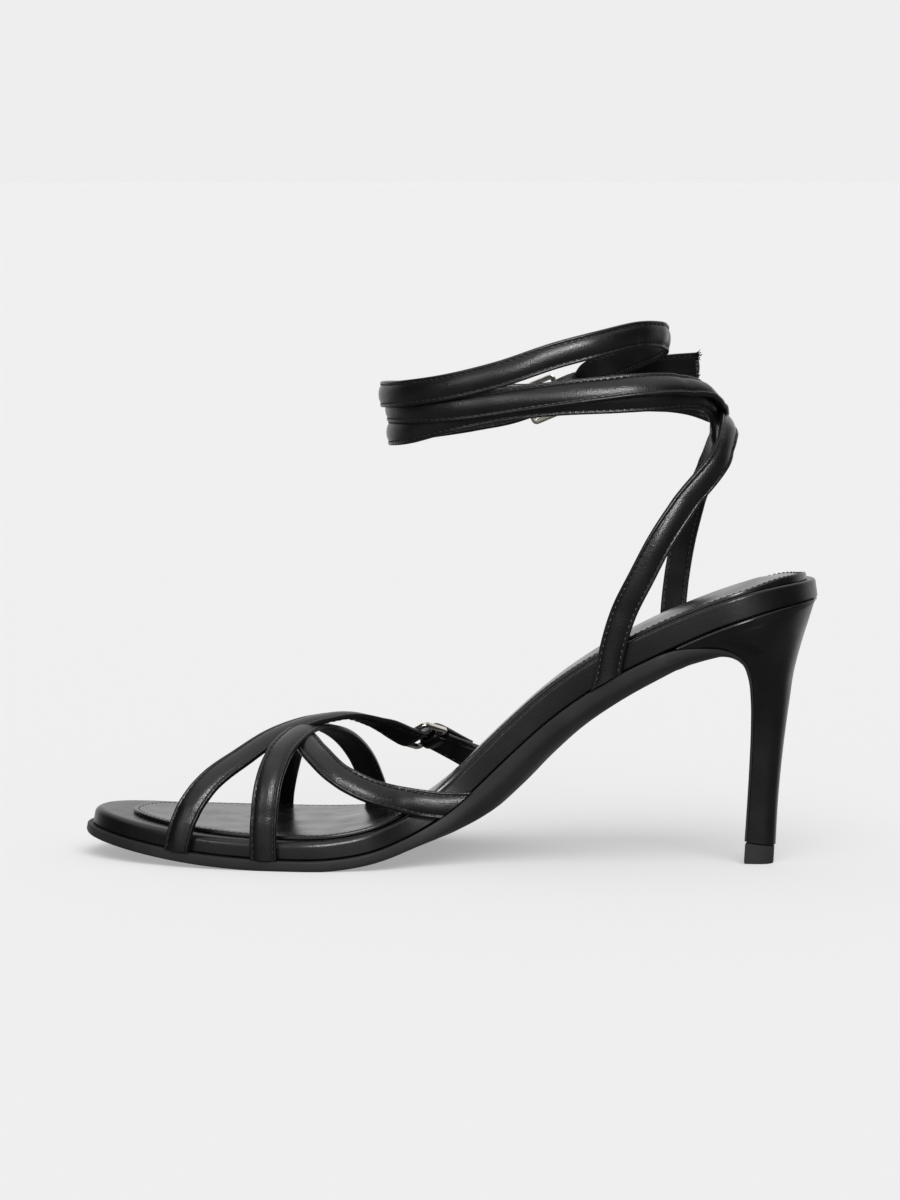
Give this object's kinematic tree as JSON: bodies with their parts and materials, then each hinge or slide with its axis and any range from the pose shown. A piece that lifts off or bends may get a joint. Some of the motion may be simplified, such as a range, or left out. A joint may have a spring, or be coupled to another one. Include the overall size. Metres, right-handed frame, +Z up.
{
  "type": "strappy heeled sandal",
  "caption": "Open high-heeled sandal for the right foot, with crossing toe straps, a slim covered heel and long straps wound round the ankle and closed by a small square buckle.",
  "frame": {"origin": "on the floor under the middle of the shoe's bounding box", "axes": "+X towards the toe, +Y towards the inner side of the foot, +Z up from the floor"},
  "size_m": [0.2275, 0.0852, 0.1673],
  "materials": {
    "outsole": "satin black, glossy edge",
    "footbed": "satin black wrap",
    "sock": "smooth black with a soft sheen",
    "heel": "satin black cover",
    "heel_tip": "matte black",
    "toe_straps": "fine-grained satin black",
    "ankle_straps": "fine-grained satin black",
    "toe_buckle": "polished pale gold plate",
    "toe_prong": "polished pale gold plate",
    "ankle_buckle": "polished pale gold plate",
    "ankle_prong": "polished pale gold plate"
  },
  "bodies": {
    "root": {"outsole": "outsole", "footbed": "footbed", "sock": "sock", "heel": "heel", "heel_tip": "heel_tip", "toe_straps": "toe_straps", "ankle_straps": "ankle_straps", "toe_buckle": "toe_buckle", "toe_prong": "toe_prong", "ankle_buckle": "ankle_buckle", "ankle_prong": "ankle_prong"}
  },
  "joints": []
}
